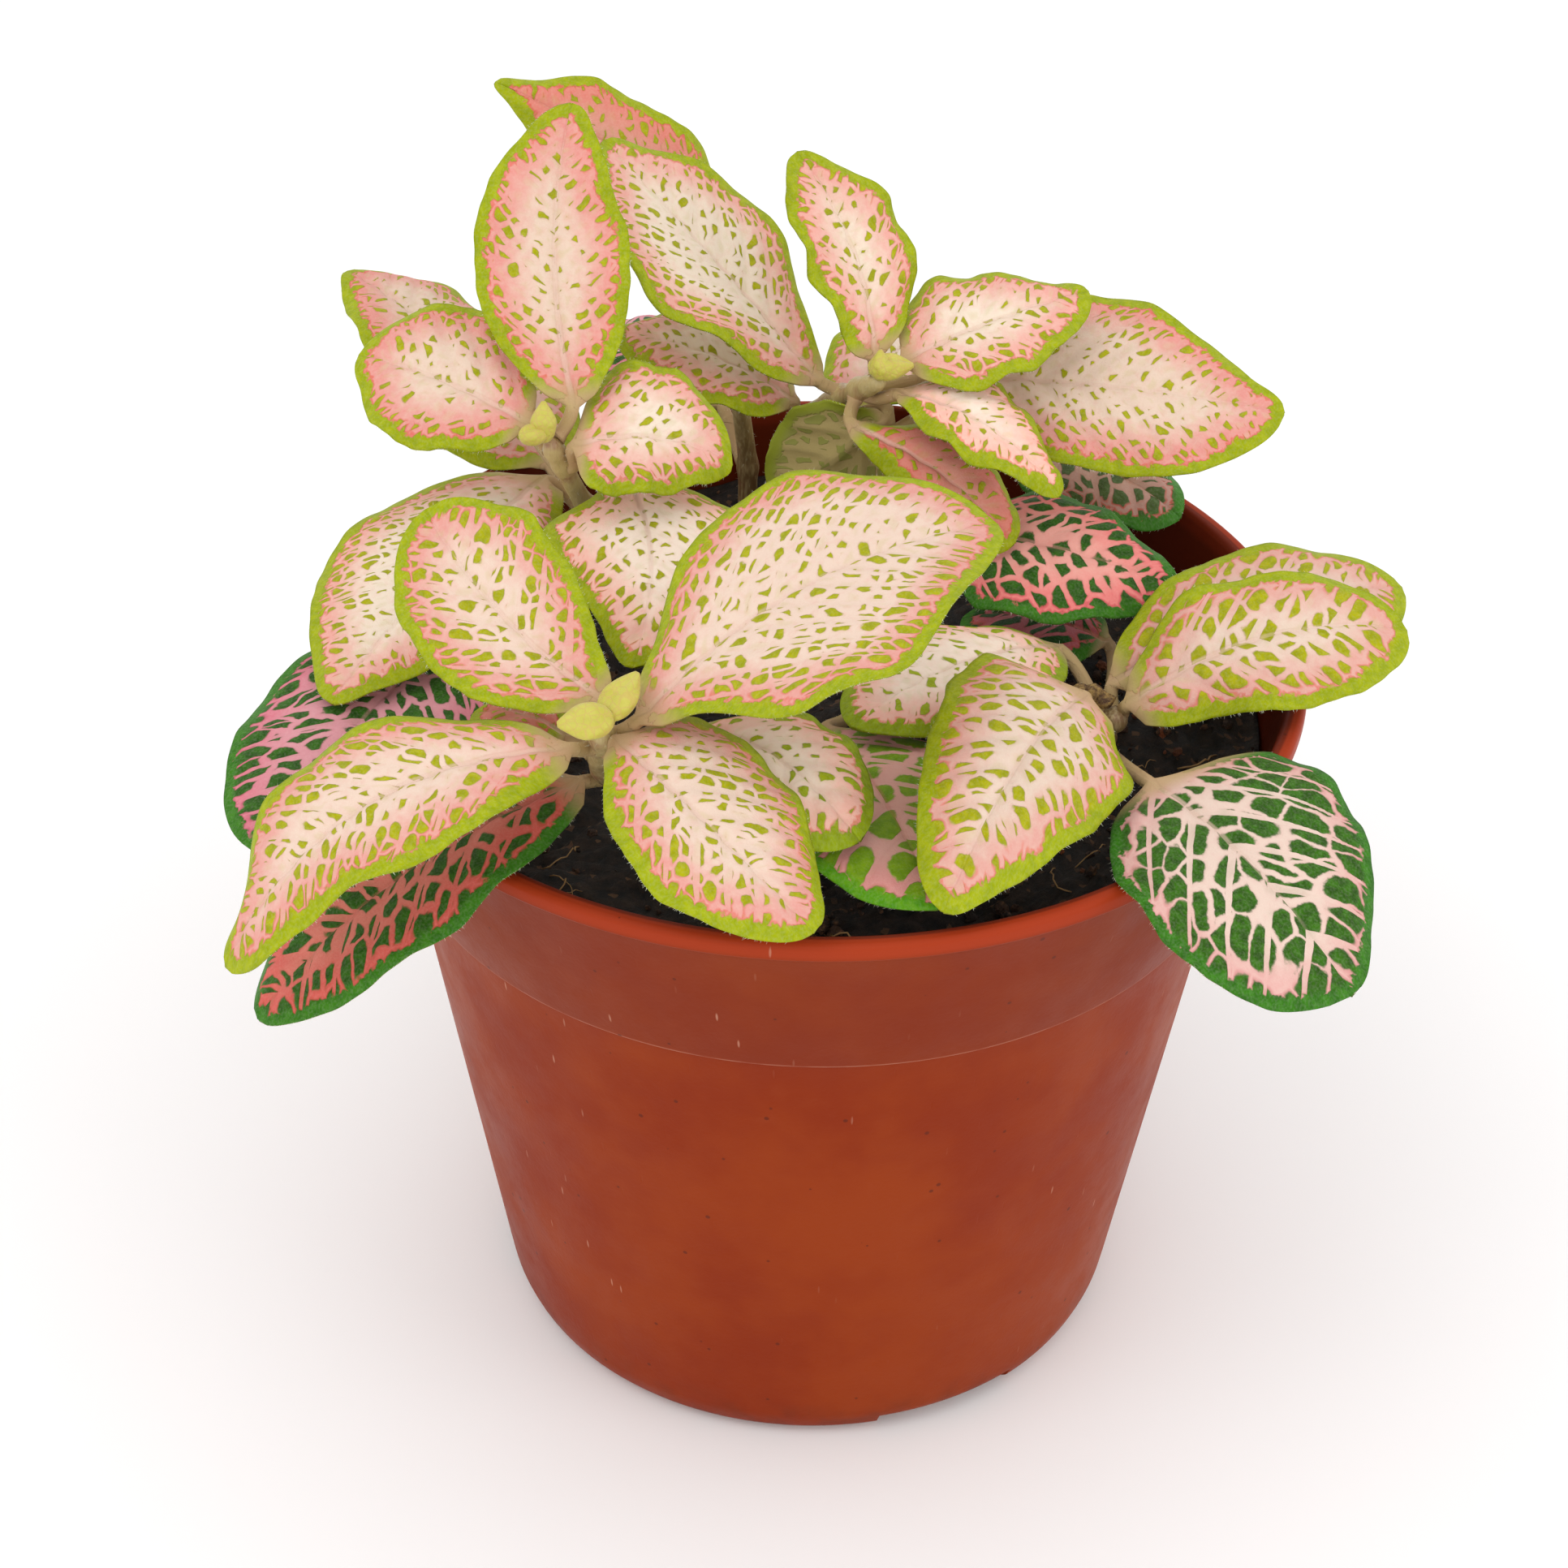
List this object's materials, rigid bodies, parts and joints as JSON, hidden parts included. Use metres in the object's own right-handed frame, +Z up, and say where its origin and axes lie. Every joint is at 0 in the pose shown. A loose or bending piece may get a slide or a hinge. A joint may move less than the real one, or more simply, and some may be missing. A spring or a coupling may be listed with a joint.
{
  "type": "potted nerve plant",
  "caption": "Low foliage plant with rounded, waved, net-veined pink and green leaves on short stems in a tapered plastic nursery pot filled with peat.",
  "frame": {"origin": "centre of the pot's base, on the surface it rests on", "axes": "+Z up along the pot's axis, -Y towards the viewer, +X to the viewer's right"},
  "size_m": [0.1411, 0.1523, 0.1555],
  "materials": {
    "pot": "satin",
    "peat": "rough",
    "stem": "satin",
    "leaf_young": "satin",
    "leaf_old": "satin",
    "bud": "satin"
  },
  "bodies": {
    "root": {"pot": "pot", "soil": "peat", "stem_a": "stem", "stem_b": "stem", "stem_c": "stem", "stem_d": "stem", "stem_e": "stem", "stem_f": "stem", "leaf_a1": "leaf_young", "leaf_a2": "leaf_young", "leaf_a3": "leaf_young", "leaf_a4": "leaf_young", "leaf_a5": "leaf_young", "leaf_a6": "leaf_young", "leaf_a8": "leaf_old", "leaf_a7": "leaf_old", "leaf_b1": "leaf_young", "leaf_b2": "leaf_young", "leaf_b3": "leaf_young", "leaf_b6": "leaf_young", "leaf_b7": "leaf_young", "leaf_b4": "leaf_young", "leaf_c1": "leaf_young", "leaf_c3": "leaf_young", "leaf_c4": "leaf_young", "leaf_c5": "leaf_young", "leaf_c6": "leaf_young", "leaf_c7": "leaf_young", "leaf_c8": "leaf_old", "leaf_c9": "leaf_old", "leaf_c10": "leaf_young", "leaf_c2": "leaf_young", "leaf_b5": "leaf_young", "leaf_d1": "leaf_young", "leaf_d2": "leaf_young", "leaf_d3": "leaf_young", "leaf_d4": "leaf_old", "leaf_d5": "leaf_young", "leaf_d6": "leaf_old", "leaf_e1": "leaf_young", "leaf_g1": "leaf_old", "leaf_g2": "leaf_young", "leaf_g3": "leaf_old", "leaf_g4": "leaf_old", "bud_a": "bud", "bud_b": "bud", "bud_c": "bud", "bud_d": "bud"}
  },
  "joints": []
}
